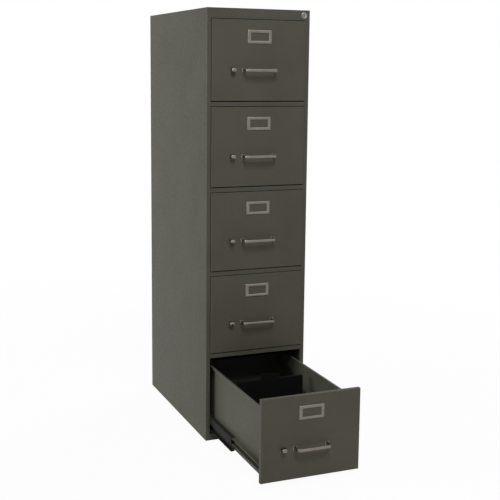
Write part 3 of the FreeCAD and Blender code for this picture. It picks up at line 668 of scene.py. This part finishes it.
def drawer_pull(number):
    node = f"drawer_{number}_pull"
    low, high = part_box(node)
    height = (low.z + high.z) / 2
    half = high.x - FOOT[0]
    shape = bmesh.new()
    skin(shape, bar_rings(pull_path(half, high.y, high.y - low.y), height))
    for hand in (-1, 1):
        skin(shape, foot_rings(hand * half, high.y, height))
    return make_piece(node + "_bar", shape, f"drawer_{number}", bright_metal, "bright_metal", node)


for number in DRAWERS:
    drawer_pull(number)
print("pulls with", len(pull_path(1, 0, 1)), "slices each")

# %% [markdown]
# Left of each pull a small thumb piece slides to the right and draws a bolt out of the stile. Only the
# knob is seen from the front, but the bar and the nose show through the pan's slot and when a drawer is
# open, so they are part of the piece. The knob is a stack of soft rectangles: narrow at its neck, full
# under the thumb and rounded at the end.

# %% Thumb latches
THUMB_HALF = (8.5 * MM, 6.5 * MM)
THUMB_SLICES = (
    (0.0, 0.80, 2.2), (1.2, 0.86, 2.6), (4.0, 0.84, 3.0), (9.0, 0.88, 3.2), (13.5, 1.0, 3.6),
    (16.4, 1.0, 4.0), (18.2, 0.90, 4.0), (19.1, 0.72, 3.4), (19.5, 0.45, 2.0),
)
STEM_HALF = (4 * MM, 3 * MM)
BAR_GAUGE = 1.5 * MM
BAR_HALF = 5 * MM
NOSE = (14 * MM, 6 * MM)
THUMB_TRAIL = 8.5 * MM


def thumb_latch(number):
    node = f"drawer_{number}_latch"
    low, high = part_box(node)
    middle = Vector((high.x - THUMB_TRAIL, 0, (low.z + high.z) / 2))
    base = low.y + THUMB_SLICES[-1][0] * MM
    back = high.y
    bar_front = back - NOSE[1]
    shape = bmesh.new()
    rings = []
    for depth, share, corner in THUMB_SLICES:
        outline = rounded_rectangle(THUMB_HALF[0] * share, THUMB_HALF[1] * share, corner * MM)
        rings.append([Vector((middle.x + x, base - depth * MM, middle.z + z)) for x, z in outline])
    skin(shape, rings)
    block(
        shape,
        Vector((middle.x - STEM_HALF[0], base, middle.z - STEM_HALF[1])),
        Vector((middle.x + STEM_HALF[0], bar_front, middle.z + STEM_HALF[1])),
    )
    block(
        shape,
        Vector((low.x, bar_front, middle.z - BAR_HALF)),
        Vector((high.x, bar_front + BAR_GAUGE, middle.z + BAR_HALF)),
    )
    block(
        shape,
        Vector((low.x, bar_front, middle.z - BAR_HALF)),
        Vector((low.x + NOSE[0], back, middle.z + BAR_HALF)),
    )
    return make_piece(node + "_slide", shape, f"latch_{number}", bright_metal, "bright_metal", node)


for number in DRAWERS:
    thumb_latch(number)
print("thumb latches")

# %% [markdown]
# The lock is a turned barrel with a thin dished face, set in the header. Its ring is a lathe shape with a
# bore, and the plug inside keeps the construction's own shape, with its key slot.

# %% Lock
LOCK_RING = (
    (0.0, 11.0), (1.2, 11.0), (1.7, 10.8), (2.0, 10.3), (2.0, 8.6), (1.5, 7.6), (1.4, 6.5), (1.2, 6.15),
    (-20.0, 6.15), (-20.0, 9.5), (0.0, 9.5),
)


def lock_ring():
    low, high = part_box("lock_housing")
    centre = Vector(((low.x + high.x) / 2, 0, (low.z + high.z) / 2))
    shape = bmesh.new()
    turned(shape, in_metres(LOCK_RING), centre, (0, -1, 0), sides=48, looped=True)
    return make_piece("lock_ring", shape, "case", lock_metal, "lock_metal", "lock_housing")


lock_ring()
print("lock ring")

# %% [markdown]
# Each slide member carries its rollers on riveted pins. The construction has the rollers as plain discs
# in the same part as the rail, so this step finds them by their shape, gives their faces the black nylon
# and adds a pin head on both sides: a flat hub on the free face and a low rivet behind the web.

# %% Rollers and their pins
PIN_HEAD = ((0.0, 4.2), (0.55, 4.2), (0.95, 3.6), (1.15, 2.4), (1.2, 0.6))
HUB = ((0.0, 5.6), (0.30, 5.6), (0.45, 5.2), (0.45, 3.4), (1.0, 3.2), (1.3, 2.4), (1.4, 0.6))
SLIDE_WEB = 1.5 * MM
ROUND_WITHIN = 0.3 * MM
LARGEST_ROLLER = 30 * MM
PLACES_PER_METRE = 1e5


def loose_parts(mesh):
    """Groups of polygon indices that share corners, found by place, with the box of each."""
    roots = {}
    spots = {}

    def root(index):
        while roots[index] != index:
            roots[index] = roots[roots[index]]
            index = roots[index]
        return index

    for vert in mesh.vertices:
        roots[vert.index] = vert.index
        key = tuple(round(part * PLACES_PER_METRE) for part in vert.co)
        if key in spots:
            roots[root(vert.index)] = root(spots[key])
        spots[key] = vert.index
    for polygon in mesh.polygons:
        first = root(polygon.vertices[0])
        for corner in polygon.vertices[1:]:
            roots[root(corner)] = first
    groups = {}
    for polygon in mesh.polygons:
        groups.setdefault(root(polygon.vertices[0]), []).append(polygon.index)
    return list(groups.values())


def box_of(mesh, polygons):
    points = [mesh.vertices[corner].co for index in polygons for corner in mesh.polygons[index].vertices]
    low = Vector(tuple(min(point[axis] for point in points) for axis in range(3)))
    high = Vector(tuple(max(point[axis] for point in points) for axis in range(3)))
    return low, high


def rollers_in(node):
    """Polygons, box and web side of each roller of a slide part."""
    mesh = frame["nodes"][node].data
    round_ones = []
    others = set()
    for polygons in loose_parts(mesh):
        low, high = box_of(mesh, polygons)
        size = high - low
        if abs(size.y - size.z) < ROUND_WITHIN and size.y < LARGEST_ROLLER:
            round_ones.append((polygons, low, high))
            continue
        for index in polygons:
            for corner in mesh.polygons[index].vertices:
                others.add(round(mesh.vertices[corner].co.x * PLACES_PER_METRE))
    return [
        (polygons, low, high, round(low.x * PLACES_PER_METRE) in others)
        for polygons, low, high in round_ones
    ]


def roller_pins(node, body):
    """Black rollers with pin heads on one slide part."""
    mesh = frame["nodes"][node].data
    mesh.materials.append(nylon)
    found = rollers_in(node)
    shape = bmesh.new()
    for polygons, low, high, web_is_low in found:
        for index in polygons:
            mesh.polygons[index].material_index = 1
        middle = (low + high) / 2
        free_x, web_x = (high.x, low.x - SLIDE_WEB) if web_is_low else (low.x, high.x + SLIDE_WEB)
        way = 1 if web_is_low else -1
        turned(shape, in_metres(HUB), (free_x, middle.y, middle.z), (way, 0, 0), sides=20)
        turned(shape, in_metres(PIN_HEAD), (web_x, middle.y, middle.z), (-way, 0, 0), sides=20)
    make_piece(node + "_pins", shape, body, slide_steel, "slide_steel")
    return len(found)


roller_count = roller_pins("slide_channels_left", "case") + roller_pins("slide_channels_right", "case")
for number in DRAWERS:
    roller_count += roller_pins(f"drawer_{number}_cradle", f"cradle_{number}")
    roller_count += roller_pins(f"drawer_{number}_runners", f"drawer_{number}")
print(roller_count, "rollers with pins")

# %% [markdown]
# Last come the small things that hold the rest: two pan-head screws behind each pull, and the marks that
# spot welding leaves where a runner is fixed to its tray. They are tiny, but they are what a close look
# finds, and a bare sheet without them looks like a drawing.

# %% Screws and spot welds
SCREW_HEAD = ((0.0, 5.0), (0.8, 5.0), (1.7, 4.3), (2.3, 3.0), (2.5, 1.6), (2.0, 1.2), (1.5, 0.3))
WELD_MARK = ((0.0, 3.2), (0.12, 3.0), (0.22, 2.4), (0.10, 1.6), (0.04, 0.4))
SHEET = 1 * MM
WELD_STEP = 95 * MM
WELD_ENDS = 35 * MM
TRAY_INNER_HALF = 156 * MM


def drawer_screws(number):
    low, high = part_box(f"drawer_{number}_pull")
    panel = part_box(f"drawer_{number}_ends")[0].y + SHEET
    shape = bmesh.new()
    for x in (low.x + FOOT[0], high.x - FOOT[0]):
        turned(shape, in_metres(SCREW_HEAD), (x, panel, (low.z + high.z) / 2), (0, 1, 0), sides=24)
    return make_piece(f"drawer_{number}_screws", shape, f"drawer_{number}", bright_metal, "bright_metal")


def tray_welds(number):
    """Spot welds inside the tray, along both runners."""
    low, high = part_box(f"drawer_{number}_runners")
    height = (low.z + high.z) / 2
    count = int((high.y - low.y - 2 * WELD_ENDS) / WELD_STEP) + 1
    shape = bmesh.new()
    for hand in (-1, 1):
        for index in range(count):
            spot = (hand * TRAY_INNER_HALF, low.y + WELD_ENDS + index * WELD_STEP, height)
            turned(shape, in_metres(WELD_MARK), spot, (-hand, 0, 0), sides=16)
    return make_piece(f"drawer_{number}_welds", shape, f"drawer_{number}", tray_paint, "tray_paint")


for number in DRAWERS:
    drawer_screws(number)
    tray_welds(number)
print("screws and welds in", len(DRAWERS), "drawers")
